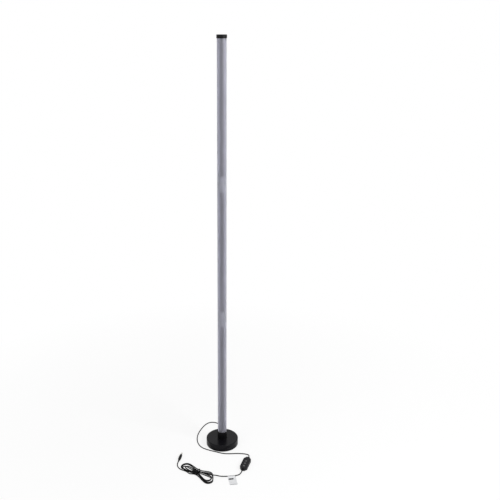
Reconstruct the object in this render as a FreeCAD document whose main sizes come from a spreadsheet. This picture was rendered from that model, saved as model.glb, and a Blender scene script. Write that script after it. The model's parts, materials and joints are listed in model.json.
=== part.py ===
import FreeCAD, Part
import math
import os
import re

import Sketcher
from FreeCAD import Placement, Rotation, Vector

# Corner floor lamp: a weighted round base, a socket collar, a pole of three equal
# frosted tubes with a light strip inside, and a low-voltage lead with an in-line
# controller, a wound hank and a plug. Millimetres, +Z up, origin on the floor
# under the pole's axis. The lead leaves at the back, which is +Y.

SIZES = {
    # whole lamp
    "total_height": 1400,
    "fit_gap": 0.1,
    # base
    "base_diameter": 110,
    "base_height": 24,
    "base_split": 12,
    "base_wall": 2.5,
    "base_floor": 2.7,
    "base_edge": 2.5,
    "base_lift": 0.8,
    "split_bevel": 0.4,
    "foot_outer": 100,
    "foot_inner": 72,
    "foot_thickness": 1.5,
    "lip_depth": 2.5,
    "lip_wall": 2,
    "boss_circle": 88,
    "boss_diameter": 8,
    "weight_outer": 99,
    "weight_inner": 54,
    "weight_height": 14,
    "lead_slot": 7,
    # socket collar
    "collar_diameter": 32.5,
    "collar_top": 49,
    "collar_floor": 2.5,
    "flange_diameter": 48,
    "flange_height": 2.5,
    "seat_ring": 52,
    "seat_ring_height": 2,
    "collar_screw_circle": 40.5,
    # pole
    "tube_diameter": 30,
    "tube_wall": 1.5,
    "tube_length": 462,
    "tube_seat": 12,
    "joiner_length": 50,
    "joiner_wall": 1.5,
    "insert_length": 12,
    "carrier_width": 14,
    "carrier_depth": 6,
    "carrier_wall": 1.2,
    "carrier_margin": 4,
    "strip_width": 10,
    "strip_thickness": 0.3,
    "chip_size": 5,
    "chip_height": 1.6,
    "chip_pitch": 33,
    "chip_count": 14,
    "clip_thickness": 3,
    "clip_inset": 5,
    "link_width": 9,
    "link_length": 8,
    "link_height": 3,
    # top cap
    "cap_diameter": 33,
    "cap_height": 11,
    "cap_top": 2,
    "cap_edge": 0.8,
    # lead
    "lead_diameter": 3.4,
    "lead_exit_height": 7,
    "grommet_nose": 12,
    "relief_flange": 3.4,
    "relief_neck": 2.9,
    "relief_tip": 2.1,
    # controller, in its own frame: long axis along Y
    "controller_x": 77.4,
    "controller_y": -131,
    "controller_turn": -18,
    "case_length": 66,
    "case_width": 25,
    "case_height": 11.6,
    "case_split": 6,
    "case_wall": 1.6,
    "corner_along": 10,
    "corner_across": 7.5,
    "case_edge": 0.7,
    "board_length": 45,
    "board_width": 17,
    "board_thickness": 1.2,
    "board_height": 3,
    "case_boss_offset": 27,
    "button_diameter": 7,
    "button_pitch": 14,
    "button_middle": -6,
    "button_proud": 1,
    "button_gap": 0.3,
    "relief_length": 8,
    # plug
    "plug_radius": 5,
    "plug_length": 40,
    "barrel_diameter": 5.5,
    "barrel_length": 10,
    "barrel_bore": 2.5,
}

doc = FreeCAD.newDocument("CornerFloorLamp")
sheet = doc.addObject("Spreadsheet::Sheet", "Sizes")
for row, (alias, value) in enumerate(SIZES.items(), start=1):
    sheet.set(f"A{row}", alias)
    sheet.set(f"B{row}", str(value))
    sheet.setAlias(f"B{row}", alias)
doc.recompute()

subparts = []


# ---------------------------------------------------------------- helpers

def formula(text):
    """Turn each size's name in an expression into its cell of the sheet."""
    def cell(match):
        word = match.group(0)
        return "Sizes." + word if word in SIZES else word
    return re.sub(r"[a-z_]+[a-z0-9_]*", cell, str(text))


def size(text):
    """The value that an expression of named sizes has now."""
    value = sheet.evalExpression(formula(text))
    return float(getattr(value, "Value", value))


def bind(item, **sizes):
    for name, text in sizes.items():
        item.setExpression(name, formula(text))


def move(item, x="0", y="0", z="0"):
    """Set an object's place, bound to the sheet."""
    for axis, text in zip("xyz", (x, y, z)):
        item.setExpression("Placement.Base." + axis, formula(text))
    return item


def keep(item, label):
    """Give a finished sub-part the name that its file gets."""
    item.Label = label
    subparts.append(item)
    return item


def cylinder(radius, height, x="0", y="0", z="0", along="z"):
    solid = doc.addObject("Part::Cylinder", "Cylinder")
    bind(solid, Radius=radius, Height=height)
    solid.Placement = Placement(Vector(), turn_to(along))
    return move(solid, x, y, z)


def cone(low, high, height, x="0", y="0", z="0"):
    solid = doc.addObject("Part::Cone", "Cone")
    bind(solid, Radius1=low, Radius2=high, Height=height)
    return move(solid, x, y, z)


def box(width, depth, height, x="0", y="0", z="0"):
    """A box whose bottom face is centred on x, y at height z."""
    solid = doc.addObject("Part::Box", "Box")
    bind(solid, Length=width, Width=depth, Height=height)
    return move(solid, f"{x} - ({width}) / 2", f"{y} - ({depth}) / 2", z)


def turn_to(along):
    """The turn that takes +Z to the named axis."""
    turns = {
        "z": Rotation(),
        "y": Rotation(Vector(1, 0, 0), -90),
        "-y": Rotation(Vector(1, 0, 0), 90),
    }
    return turns[along]


def fuse(*items):
    joined = doc.addObject("Part::MultiFuse", "Fuse")
    joined.Shapes = list(items)
    return joined


def cut(base, *tools):
    difference = doc.addObject("Part::Cut", "Cut")
    difference.Base = base
    difference.Tool = tools[0] if len(tools) == 1 else fuse(*tools)
    return difference


def group(*items):
    """Separate solids that share one node."""
    together = doc.addObject("Part::Compound", "Group")
    together.Links = list(items)
    return together


def body_with_sketch(plane):
    body = doc.addObject("PartDesign::Body", "Body")
    sketch = body.newObject("Sketcher::SketchObject", "Sketch")
    attach(sketch, body, plane)
    return body, sketch


def attach(sketch, body, plane):
    for feature in body.Origin.OriginFeatures:
        if feature.Role == plane:
            sketch.AttachmentSupport = [(feature, "")]
    sketch.MapMode = "FlatFace"


def pin(sketch, edge, corner, x, y):
    """Hold one corner of a sketch at a place bound to the sheet."""
    for kind, text in (("DistanceX", x), ("DistanceY", y)):
        index = sketch.addConstraint(
            Sketcher.Constraint(kind, -1, 1, edge, corner, size(text)))
        sketch.setExpression(f"Constraints[{index}]", formula(text))


def outline(sketch, points):
    """A closed outline of straight lines through named places."""
    places = [Vector(size(x), size(y), 0) for x, y in points]
    first = len(sketch.Geometry)
    count = len(places)
    for i in range(count):
        sketch.addGeometry(Part.LineSegment(places[i], places[(i + 1) % count]))
    for i in range(count):
        following = first + (i + 1) % count
        sketch.addConstraint(
            Sketcher.Constraint("Coincident", first + i, 2, following, 1))
        pin(sketch, first + i, 1, *points[i])


def ring(sketch, radius):
    """A circle round the sketch's origin."""
    place = Part.Circle(Vector(0, 0, 0), Vector(0, 0, 1), size(radius))
    edge = sketch.addGeometry(place)
    sketch.addConstraint(Sketcher.Constraint("Coincident", edge, 3, -1, 1))
    index = sketch.addConstraint(Sketcher.Constraint("Radius", edge, size(radius)))
    sketch.setExpression(f"Constraints[{index}]", formula(radius))


def pad(body, sketch, length):
    feature = body.newObject("PartDesign::Pad", "Pad")
    feature.Profile = sketch
    bind(feature, Length=length)
    return feature


def turned(points):
    """A body turned about its Z axis from (radius, height) corners."""
    body, sketch = body_with_sketch("XZ_Plane")
    outline(sketch, points)
    feature = body.newObject("PartDesign::Revolution", "Revolution")
    feature.Profile = sketch
    feature.ReferenceAxis = (sketch, ["V_Axis"])
    feature.Angle = 360
    doc.recompute()
    return body


def edges_where(shape, test):
    names = []
    for number, edge in enumerate(shape.Edges, start=1):
        if test(edge):
            names.append(f"Edge{number}")
    return names


def soften(body, kind, radius, test):
    """Round or bevel the edges of the body's last feature that pass a test."""
    doc.recompute()
    base = body.Tip
    feature = body.newObject("PartDesign::" + kind, kind)
    feature.Base = (base, edges_where(base.Shape, test))
    bind(feature, **{"Radius" if kind == "Fillet" else "Size": radius})
    doc.recompute()
    return body


def on_circle(radius, height):
    """A test for whole circular edges about Z."""
    def test(edge):
        curve = edge.Curve
        return (isinstance(curve, Part.Circle)
                and abs(curve.Radius - size(radius)) < 0.01
                and abs(curve.Center.z - size(height)) < 0.01)
    return test


def circle_places(diameter, count, start=0):
    """Places evenly round a circle, as expressions."""
    places = []
    for i in range(count):
        angle = start + 360 / count * i
        places.append((f"{diameter} / 2 * cos({angle} deg)",
                       f"{diameter} / 2 * sin({angle} deg)"))
    return places


def cross_recess(width, depth, x, y, z):
    """The cross cut in a screw's head, with its low face at z."""
    return fuse(box(width, width / 5, depth, x, y, z),
                box(width / 5, width, depth, x, y, z))


# ---------------------------------------------------------------- base

BOSSES = circle_places("boss_circle", 4, start=45)
COLLAR_SCREWS = circle_places("collar_screw_circle", 3, start=90)
SCREW_SHANK = 1.45
CLAMP_EAR = 5.6


def make_foot_ring():
    body, sketch = body_with_sketch("XY_Plane")
    ring(sketch, "foot_outer / 2")
    ring(sketch, "foot_inner / 2")
    pad(body, sketch, "foot_thickness")
    keep(body, "foot_ring")


def make_base_tray():
    outer = "base_diameter / 2"
    inner = "base_diameter / 2 - base_wall"
    floor = "base_lift + base_floor"
    body = turned([
        ("0", "base_lift"),
        ("foot_inner / 2 - fit_gap", "base_lift"),
        ("foot_inner / 2 - fit_gap", "foot_thickness"),
        ("foot_outer / 2 + fit_gap", "foot_thickness"),
        ("foot_outer / 2 + fit_gap", "base_lift"),
        (outer, "base_lift"),
        (outer, "base_split - split_bevel"),
        (outer + " - split_bevel", "base_split"),
        (inner, "base_split"),
        (inner, floor),
        ("0", floor),
    ])
    soften(body, "Fillet", "1.2", on_circle(outer, "base_lift"))
    doorway = cylinder("3.1", "10", y="base_diameter / 2 - 6",
                       z="lead_exit_height", along="y")
    holes = [doorway]
    for x, y in BOSSES:
        holes.append(cylinder("1.6", "base_floor + 2", x, y, "base_lift - 1"))
        holes.append(cone("3.1", "1.6", "1.4", x, y, "foot_thickness"))
    for side in (-1, 1):
        holes.append(cylinder("1.15", "2", f"{side} * {CLAMP_EAR}", "21", "1.6"))
    keep(cut(body, *holes), "base_tray")


def make_base_cover():
    outer = "base_diameter / 2"
    lip = "base_diameter / 2 - base_wall - 0.2"
    lip_inner = "base_diameter / 2 - base_wall - 0.2 - lip_wall"
    bore = "collar_diameter / 2 + 0.15"
    underside = "base_height - base_wall"
    seat = "base_height - base_wall - seat_ring_height"
    body = turned([
        (bore, "base_height"),
        (outer, "base_height"),
        (outer, "base_split + split_bevel"),
        (outer + " - split_bevel", "base_split"),
        (lip, "base_split"),
        (lip, "base_split - lip_depth"),
        (lip_inner, "base_split - lip_depth"),
        (lip_inner, underside),
        ("seat_ring / 2", underside),
        ("seat_ring / 2", seat),
        (bore, seat),
    ])
    soften(body, "Fillet", "base_edge", on_circle(outer, "base_height"))
    floor = "base_lift + base_floor"
    posts = []
    holes = []
    for x, y in BOSSES:
        posts.append(cylinder("boss_diameter / 2",
                              "base_height - base_wall - base_lift - base_floor",
                              x, y, floor))
        holes.append(cylinder("1.5", "14", x, y, floor))
    for x, y in COLLAR_SCREWS:
        holes.append(cylinder("1.5", "3.6", x, y, seat))
    holes.append(cylinder("relief_flange + 0.3", "lip_wall + 2", y=lip_inner + " - 1",
                          z="lead_exit_height", along="y"))
    keep(cut(fuse(body, *posts), *holes), "base_cover")


def make_base_weight():
    body, sketch = body_with_sketch("XY_Plane")
    ring(sketch, "weight_outer / 2")
    ring(sketch, "weight_inner / 2")
    pad(body, sketch, "weight_height")
    move(body, z="base_lift + base_floor")
    holes = [box("lead_slot", "40", "8", "0", "40", "base_lift")]
    for x, y in BOSSES:
        holes.append(cylinder("boss_diameter / 2 + 0.5", "30", x, y, "0"))
    keep(cut(body, *holes), "base_weight")


def make_base_screws():
    screws = []
    for x, y in BOSSES:
        head = cone("2.9", "1.5", "1.3", x, y, "foot_thickness + fit_gap")
        shank = cylinder(SCREW_SHANK, "12.5", x, y, "foot_thickness + 1.3")
        recess = cross_recess(2.6, 0.7, x, y, "foot_thickness")
        screws.append(cut(fuse(head, shank), recess))
    keep(group(*screws), "base_screws")


def make_socket_collar():
    outer = "collar_diameter / 2"
    bore = "tube_diameter / 2 + fit_gap"
    bottom = "tube_seat - collar_floor"
    flange_top = "base_height - base_wall - seat_ring_height"
    flange_low = "base_height - base_wall - seat_ring_height - flange_height"
    body = turned([
        ("6", "tube_seat"),
        (bore, "tube_seat"),
        (bore, "collar_top"),
        (outer, "collar_top"),
        (outer, flange_top),
        ("flange_diameter / 2", flange_top),
        ("flange_diameter / 2", flange_low),
        (outer, flange_low),
        (outer, bottom),
        ("6", bottom),
    ])
    soften(body, "Fillet", "0.5", on_circle(outer, "collar_top"))
    holes = []
    for x, y in COLLAR_SCREWS:
        holes.append(cylinder("1.6", "flange_height + 2", x, y, flange_low + " - 1"))
    keep(cut(body, *holes), "socket_collar")


def make_collar_screws():
    flange_low = "base_height - base_wall - seat_ring_height - flange_height"
    screws = []
    for x, y in COLLAR_SCREWS:
        head = cylinder("2.7", "1.5", x, y, flange_low + " - 1.5")
        shank = cylinder(SCREW_SHANK, "flange_height + 3.2", x, y, flange_low)
        recess = cross_recess(2.6, 0.8, x, y, flange_low + " - 1.5")
        screws.append(cut(fuse(head, shank), recess))
    keep(group(*screws), "collar_screws")


def make_base_relief():
    """A moulded strain relief: inner flange, neck, outer flange and tapered nose."""
    inside = "base_diameter / 2 - base_wall - 0.3"
    outside = "base_diameter / 2 + 0.05"
    body = turned([
        ("0", inside + " - 1.3"),
        ("relief_flange", inside + " - 1.3"),
        ("relief_flange", inside),
        ("relief_neck", inside),
        ("relief_neck", outside),
        ("relief_flange", outside),
        ("relief_flange", outside + " + 1.1"),
        ("relief_neck", outside + " + 1.1"),
        ("relief_tip", outside + " + grommet_nose"),
        ("0", outside + " + grommet_nose"),
    ])
    body.Placement = Placement(Vector(0, 0, 0), turn_to("y"))
    keep(move(body, z="lead_exit_height"), "base_strain_relief")


def make_lead_clamp():
    bar = box("16", "6", "6.5", "0", "21", "base_lift + base_floor")
    lead = cylinder("lead_diameter / 2 + 0.05", "20", y="10",
                    z="lead_exit_height", along="y")
    below = box("lead_diameter + 0.1", "20", "lead_exit_height", "0", "21", "0")
    holes = [lead, below]
    screws = []
    for side in (-1, 1):
        x = f"{side} * {CLAMP_EAR}"
        holes.append(cylinder("1.15", "12", x, "21", "0"))
        head = cylinder("1.9", "1.2", x, "21", "base_lift + base_floor + 6.5")
        shank = cylinder("1.05", "8.2", x, "21", "base_lift + base_floor - 1.7")
        slot = cross_recess(1.8, 0.6, x, "21", "base_lift + base_floor + 7.1")
        screws.append(cut(fuse(head, shank), slot))
    keep(cut(bar, *holes), "lead_clamp")
    keep(group(*screws), "clamp_screws")


# ---------------------------------------------------------------- pole

SECTIONS = ("lower", "middle", "upper")


def section_floor(number):
    return f"(tube_seat + {number} * tube_length)"


def sleeve(radius, wall, length):
    """A plain round sleeve along Z."""
    body, sketch = body_with_sketch("XY_Plane")
    ring(sketch, radius)
    ring(sketch, f"{radius} - {wall}")
    pad(body, sketch, length)
    doc.recompute()
    return body


def make_tubes():
    for number, name in enumerate(SECTIONS):
        tube = sleeve("tube_diameter / 2", "tube_wall", "tube_length")
        soften(tube, "Chamfer", "0.25", lambda edge: on_circle(
            "tube_diameter / 2", "0")(edge) or on_circle(
            "tube_diameter / 2", "tube_length")(edge))
        keep(move(tube, z=section_floor(number)), name + "_tube")


def make_joiners():
    bore = "tube_diameter / 2 - tube_wall - fit_gap"
    for number, name in ((1, "lower"), (2, "upper")):
        joiner = sleeve(bore, "joiner_wall", "joiner_length")
        move(joiner, z=section_floor(number) + " - joiner_length / 2")
        keep(joiner, name + "_joiner")
    insert = sleeve(bore, "joiner_wall", "insert_length")
    keep(move(insert, z="tube_seat"), "bottom_insert")


def make_carriers():
    """Channel bars that hold the light strips upright, open towards the back."""
    half = "carrier_width / 2"
    deep = "carrier_depth / 2"
    inner = "carrier_width / 2 - carrier_wall"
    web = "carrier_wall - carrier_depth / 2"
    corners = [
        (f"-({half})", f"-({deep})"),
        (half, f"-({deep})"),
        (half, deep),
        (inner, deep),
        (inner, web),
        (f"-({inner})", web),
        (f"-({inner})", deep),
        (f"-({half})", deep),
    ]
    for number, name in enumerate(SECTIONS):
        body, sketch = body_with_sketch("XY_Plane")
        outline(sketch, corners)
        pad(body, sketch, "tube_length - 2 * carrier_margin")
        keep(move(body, z=section_floor(number) + " + carrier_margin"),
             name + "_carrier")


def make_strips():
    """Light strips: a thin board with square chips at an even pitch."""
    web = "carrier_wall - carrier_depth / 2"
    first = "(tube_length - 2 * carrier_margin - chip_pitch * (chip_count - 1)) / 2"
    for number, name in enumerate(SECTIONS):
        body, sketch = body_with_sketch("XY_Plane")
        side = "strip_width / 2"
        low, high = web, f"{web} + strip_thickness"
        outline(sketch, [(f"-{side}", low), (side, low), (side, high),
                         (f"-{side}", high)])
        pad(body, sketch, "tube_length - 2 * carrier_margin")
        face = body.newObject("Sketcher::SketchObject", "ChipSketch")
        attach(face, body, "XY_Plane")
        half = "chip_size / 2"
        top = f"{web} + strip_thickness + chip_height"
        outline(face, [(f"-{half}", high), (half, high), (half, top),
                       (f"-{half}", top)])
        bind(face, **{"AttachmentOffset.Base.z": first + " - chip_size / 2"})
        chip = pad(body, face, "chip_size")
        doc.recompute()
        row_of_chips = body.newObject("PartDesign::LinearPattern", "ChipRow")
        row_of_chips.Originals = [chip]
        row_of_chips.Direction = (sketch, ["N_Axis"])
        bind(row_of_chips, Length="chip_pitch * (chip_count - 1)",
             Occurrences="chip_count")
        body.Tip = row_of_chips
        keep(move(body, z=section_floor(number) + " + carrier_margin"),
             name + "_light_strip")


def make_clips():
    """Round clips that centre the bars inside the sleeves."""
    radius = "tube_diameter / 2 - tube_wall - joiner_wall - 2 * fit_gap"
    clips = []
    for number in range(len(SECTIONS)):
        for end in ("clip_inset", "tube_length - clip_inset"):
            height = f"{section_floor(number)} + {end} - clip_thickness / 2"
            disc = cylinder(radius, "clip_thickness", z=height)
            window = box("carrier_width + 0.2", "carrier_depth + 0.2",
                         "clip_thickness + 2", z=height + " - 1")
            clips.append(cut(disc, window))
    keep(group(*clips), "carrier_clips")


def make_strip_links():
    """Small connectors that bridge from lead to strip and from strip to strip."""
    face = "carrier_wall - carrier_depth / 2 + strip_thickness"
    depth = "link_height"
    links = []
    for number in (0, 1, 2):
        base = "tube_seat + 3" if number == 0 else (
            f"{section_floor(number)} - link_length / 2")
        links.append(box("link_width", depth, "link_length",
                         y=f"{face} + 0.05 + {depth} / 2", z=base))
    keep(group(*links), "strip_links")


def make_top_cap():
    outer = "cap_diameter / 2"
    bore = "tube_diameter / 2 + fit_gap"
    plug = "tube_diameter / 2 - tube_wall - fit_gap"
    plug_bore = "tube_diameter / 2 - tube_wall - fit_gap - joiner_wall"
    body = turned([
        ("0", "cap_height - cap_top"),
        (plug_bore, "cap_height - cap_top"),
        (plug_bore, "0.6"),
        (plug, "0.6"),
        (plug, "cap_height - cap_top"),
        (bore, "cap_height - cap_top"),
        (bore, "0"),
        (outer, "0"),
        (outer, "cap_height"),
        ("0", "cap_height"),
    ])
    soften(body, "Fillet", "cap_edge", on_circle(outer, "cap_height"))
    keep(move(body, z="total_height - cap_height"), "top_cap")


# ---------------------------------------------------------------- controller

BUTTONS = ("power_button", "colour_button", "mode_button")


def to_controller(item):
    """Put a piece that is drawn in the controller's frame in its place."""
    item.Placement = Placement(Vector(), Rotation(Vector(0, 0, 1), 0))
    bind(item, **{"Placement.Rotation.Angle": "controller_turn"})
    return move(item, "controller_x", "controller_y")


def case_corners(inset):
    """The case's outline: a long box with slanted corners, drawn in by inset."""
    half_long = f"(case_length / 2 - {inset})"
    half_wide = f"(case_width / 2 - {inset})"
    along = f"({half_long} - corner_along)"
    across = f"({half_wide} - corner_across)"
    corners = []
    for sx, sy, order in ((1, 1, 0), (-1, 1, 1), (-1, -1, 0), (1, -1, 1)):
        side = (f"{sx} * {half_wide}", f"{sy} * {along}")
        end = (f"{sx} * {across}", f"{sy} * {half_long}")
        corners += [side, end] if order == 0 else [end, side]
    return corners


def case_shell(height, hollow_from, hollow_height, soft_height):
    """Half of the case: a padded outline with its hollow cut out."""
    body, sketch = body_with_sketch("XY_Plane")
    outline(sketch, case_corners("0"))
    pad(body, sketch, height)
    rim = size(soft_height)
    soften(body, "Chamfer", "case_edge", lambda edge: (
        abs(edge.BoundBox.ZMin - rim) < 0.01 and abs(edge.BoundBox.ZMax - rim) < 0.01))
    core, core_sketch = body_with_sketch("XY_Plane")
    outline(core_sketch, case_corners("case_wall"))
    pad(core, core_sketch, hollow_height)
    move(core, z=hollow_from)
    return cut(body, core)


def case_doorways(z):
    half = "case_length / 2"
    return [cylinder("3", "case_wall + 2", y=f"{half} - case_wall - 1", z=z, along="y"),
            cylinder("3", "case_wall + 2", y=f"1 - {half} + case_wall", z=z, along="-y")]


def button_place(number):
    return f"(button_middle + {1 - number} * button_pitch)"


def make_controller_bottom():
    shell = case_shell("case_split", "case_wall", "case_split", "0")
    ribs = [box("board_width", "2", "board_height - case_wall", y=y, z="case_wall")
            for y in ("-15", "15")]
    holes = case_doorways("case_split")
    for side in (-1, 1):
        y = f"{side} * case_boss_offset"
        holes.append(cylinder("1.2", "4", y=y, z="-1"))
        holes.append(cone("2.2", "1.2", "1", y=y, z="0"))
    keep(to_controller(cut(fuse(shell, *ribs), *holes)), "controller_bottom_case")


def make_controller_top():
    height = "case_height - case_split"
    shell = case_shell(height, "-1", f"{height} - case_wall + 1", height)
    bosses = []
    holes = case_doorways("0")
    for side in (-1, 1):
        y = f"{side} * case_boss_offset"
        bosses.append(cylinder("2.2", "case_height - case_wall - 1.65", y=y,
                               z="1.65 - case_split"))
        holes.append(cylinder("1.05", "8", y=y, z="-case_split"))
    for number in range(len(BUTTONS)):
        holes.append(cylinder("button_diameter / 2 + button_gap", "5",
                              y=button_place(number), z="2"))
    holes.append(cylinder("0.7", "5", "-4", "18", "2"))
    holes.append(cylinder("1.5", "5", "3.5", "18", "2"))
    top = cut(fuse(shell, *bosses), *holes)
    top = group(move(top, z="case_split"))
    keep(to_controller(top), "controller_top_case")


def make_controller_inside():
    top_of_board = "board_height + board_thickness"
    board = box("board_width", "board_length", "board_thickness", z="board_height")
    keep(to_controller(group(board)), "controller_board")
    chip = box("4.9", "3.9", "1.5", "4.5", "1", top_of_board)
    keep(to_controller(group(chip)), "driver_chip")
    switches = []
    for number in range(len(BUTTONS)):
        y = button_place(number)
        switches.append(fuse(box("4.5", "4.5", "1.7", y=y, z=top_of_board),
                             cylinder("1", "0.6", y=y, z=top_of_board + " + 1.7")))
    keep(to_controller(group(*switches)), "button_switches")
    microphone = cylinder("2", "2", "-4", "18", top_of_board)
    keep(to_controller(group(microphone)), "microphone")
    receiver = fuse(box("4", "3", "3", "3.5", "18", top_of_board),
                    cylinder("1.3", "case_height - 4.2 + 0.2", "3.5", "18", top_of_board))
    keep(to_controller(group(receiver)), "remote_receiver")
    screws = []
    for side in (-1, 1):
        y = f"{side} * case_boss_offset"
        head = cone("2", "1.1", "0.9", y=y, z="0.1")
        shank = cylinder("1", "6.5", y=y, z="1")
        screws.append(cut(fuse(head, shank), cross_recess(1.8, 0.5, "0", y, "0")))
    keep(to_controller(group(*screws)), "controller_screws")


def make_buttons():
    """Round buttons with a flange under the lid and a stem over the switch."""
    lid = "case_height - case_wall"
    for number, name in enumerate(BUTTONS):
        body = turned([
            ("0", "7.1"),
            ("1.4", "7.1"),
            ("1.4", lid + " - 1"),
            ("button_diameter / 2 + 0.9", lid + " - 1"),
            ("button_diameter / 2 + 0.9", lid + " - 0.1"),
            ("button_diameter / 2", lid + " - 0.1"),
            ("button_diameter / 2", "case_height + button_proud"),
            ("0", "case_height + button_proud"),
        ])
        soften(body, "Fillet", "0.6",
               on_circle("button_diameter / 2", "case_height + button_proud"))
        placed = group(move(body, y=button_place(number)))
        keep(to_controller(placed), name)


def make_controller_reliefs():
    for label, along in (("controller_lamp_relief", "y"),
                         ("controller_plug_relief", "-y")):
        place = Placement(Vector(0, 0, 0), turn_to(along))
        body = turned([
            ("0", "case_length / 2 - case_wall - 1.4"),
            ("relief_flange", "case_length / 2 - case_wall - 1.4"),
            ("relief_flange", "case_length / 2 - case_wall - 0.1"),
            ("relief_neck", "case_length / 2 - case_wall - 0.1"),
            ("relief_neck", "case_length / 2 + 1"),
            ("relief_tip", "case_length / 2 + relief_length"),
            ("0", "case_length / 2 + relief_length"),
        ])
        body.Placement = place
        keep(to_controller(group(move(body, z="case_split"))), label)


# ---------------------------------------------------------------- lead

# Points of the lead's route, chosen by hand. They lie where the straight runs of
# the route meet. Lamp to controller:
LAMP_ROUTE = [
    (0, 67.05, 7), (0, 77, 7), (0.4, 89, 4.6), (-3, 106, 1.9), (-12.5, 121.5, 1.7),
    (-29, 131.5, 1.7), (-48, 130, 1.7), (-63, 114, 1.7), (-75, 89, 1.7),
    (-86, 58, 1.7), (-90, 26, 1.7), (-85, -7, 1.7), (-71, -33, 1.7),
    (-48, -47, 1.7), (-22, -57, 1.7), (4, -68, 1.7), (27, -67.5, 1.7),
    (50, -65.6, 1.7), (71.6, -67, 2.1), (84.5, -72, 3.8), (90.8, -79, 5.3),
]
LAMP_SIDE_RUN = 6.5
# Controller to hank. The tag sits round the third and fourth points' runs.
HANK_SIDE_RUN = 5
HANK_ROUTE = [
    (60.6, -181, 5.1), (55.5, -186, 3.5), (46.5, -189.2, 2.15), (30, -191.6, 2.15),
    (12, -193.7, 2.15), (-7, -197.3, 5.2), (-18.6, -199, 9.6),
]
# Hank to plug.
TAIL_ROUTE = [
    (-116.2, -175, 1.7), (-125.5, -167, 1.7), (-135.5, -159.5, 1.7),
    (-143.5, -150.5, 1.7), (-148.5, -140, 2.4), (-149.9, -131.5, 4),
    (-148.96, -124.07, 5),
]
PLUG_TAIL = (-147.6, -117.2, 5)
PLUG_HEADING = (0.194, 0.981, 0)
FILLET_SHARE = 0.45
# The lead inside the base: the radius of its bend, and its rise past the tube's seat.
BASE_LEAD_BEND = 6.5
BASE_LEAD_RISE = 3


def turn_between(before, after):
    cosine = max(-1, min(1, before.dot(after)))
    return math.acos(cosine)


def corner_arc(before, corner, after):
    """The arc that rounds one corner of a route, as three points and a radius."""
    back, ahead = before - corner, after - corner
    reach = FILLET_SHARE * min(back.Length, ahead.Length)
    back.normalize()
    ahead.normalize()
    turn = turn_between(back * -1, ahead)
    radius = reach / math.tan(turn / 2)
    start, end = corner + back * reach, corner + ahead * reach
    middle = (start + end) * 0.5
    inward = middle - corner
    inward.normalize()
    centre_gap = radius / math.cos(turn / 2)
    return start, corner + inward * (centre_gap - radius), end, radius


def route_wire(points):
    """Straight runs joined by tangent arcs, and the radii of the arcs."""
    points = [Vector(*point) for point in points]
    edges, radii = [], []
    here = points[0]
    for before, corner, after in zip(points, points[1:], points[2:]):
        start, top, end, radius = corner_arc(before, corner, after)
        edges.append(Part.LineSegment(here, start).toShape())
        edges.append(Part.Arc(start, top, end).toShape())
        radii.append(radius)
        here = end
    edges.append(Part.LineSegment(here, points[-1]).toShape())
    return Part.Wire(edges), radii


def tube_along(path, radius):
    """A round solid swept along a path."""
    start = path.Edges[0].valueAt(path.Edges[0].FirstParameter)
    heading = path.Edges[0].tangentAt(path.Edges[0].FirstParameter)
    circle = Part.Wire([Part.Circle(start, heading, radius).toShape()])
    return path.makePipeShell([circle], True, False)


def lead_piece(label, path):
    """Sweep the lead's section along a path and compare the volume."""
    radius = size("lead_diameter / 2")
    solid = tube_along(path, radius)
    if solid.ShapeType != "Solid":
        solid = solid.Solids[0]
    item = doc.addObject("Part::Feature", "Lead")
    item.Shape = solid
    item.Placement = Placement()
    expected = math.pi * radius ** 2 * path.Length
    print(f"{label}: length {path.Length:.1f} volume {solid.Volume:.0f} "
          f"expected {expected:.0f}")
    return keep(item, label)


def in_controller(x, y, z):
    """A place in the controller's frame, in the lamp's frame."""
    angle = math.radians(size("controller_turn"))
    return (size("controller_x") + x * math.cos(angle) - y * math.sin(angle),
            size("controller_y") + x * math.sin(angle) + y * math.cos(angle), z)


def make_lead_stretches():
    nose = size("case_length / 2 + relief_length")
    split = size("case_split")
    to_lamp = [in_controller(0, nose + LAMP_SIDE_RUN, split),
               in_controller(0, nose, split)]
    to_hank = [in_controller(0, -nose, split),
               in_controller(0, -nose - HANK_SIDE_RUN, split)]
    stretches = {
        "cord_lamp_to_controller": LAMP_ROUTE + to_lamp,
        "cord_controller_to_hank": to_hank + HANK_ROUTE + hank_outlet(),
        "cord_tail": hank_inlet() + TAIL_ROUTE + [PLUG_TAIL],
    }
    for label, points in stretches.items():
        path, radii = route_wire(points)
        print(label, "radii", [round(radius, 1) for radius in radii])
        lead_piece(label, path)

def make_base_lead():
    """The lead in the base: straight from the strain relief, one bend, then up."""
    level = size("lead_exit_height")
    cut_in = BASE_LEAD_BEND * (1 - math.cos(math.pi / 4))
    start = Vector(0, size("base_diameter / 2 - base_wall - 0.3 - 1.3"), level)
    low = Vector(0, BASE_LEAD_BEND, level)
    middle = Vector(0, cut_in, level + cut_in)
    high = Vector(0, 0, level + BASE_LEAD_BEND)
    top = Vector(0, 0, size("tube_seat") + BASE_LEAD_RISE)
    lead_piece("base_lead", Part.Wire([
        Part.LineSegment(start, low).toShape(),
        Part.Arc(low, middle, high).toShape(),
        Part.LineSegment(high, top).toShape(),
    ]))


# ---------------------------------------------------------------- hank

# The hank is drawn in at its waist between two lobes. Their rounded ends are
# circles of the outermost line: a centre and a radius.
LEFT_END = ((-118.5, -144.5), 16.5)
RIGHT_END = ((-45.5, -215), 15.5)
RIGHT_SHOULDER = ((-48.5, -190.5), 17.5)
WAIST = (-80, -175.5)
WAIST_HEADING = -35
WAIST_HALF_WIDTH = 8.3
WAIST_LIFT = 1.1
LOBE_STEP = 4.1
WAIST_STEP = 4.4
LOOPS = 4
CLIMB_FROM, CLIMB_TO = 16, 21
LAYER = 3.95
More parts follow.
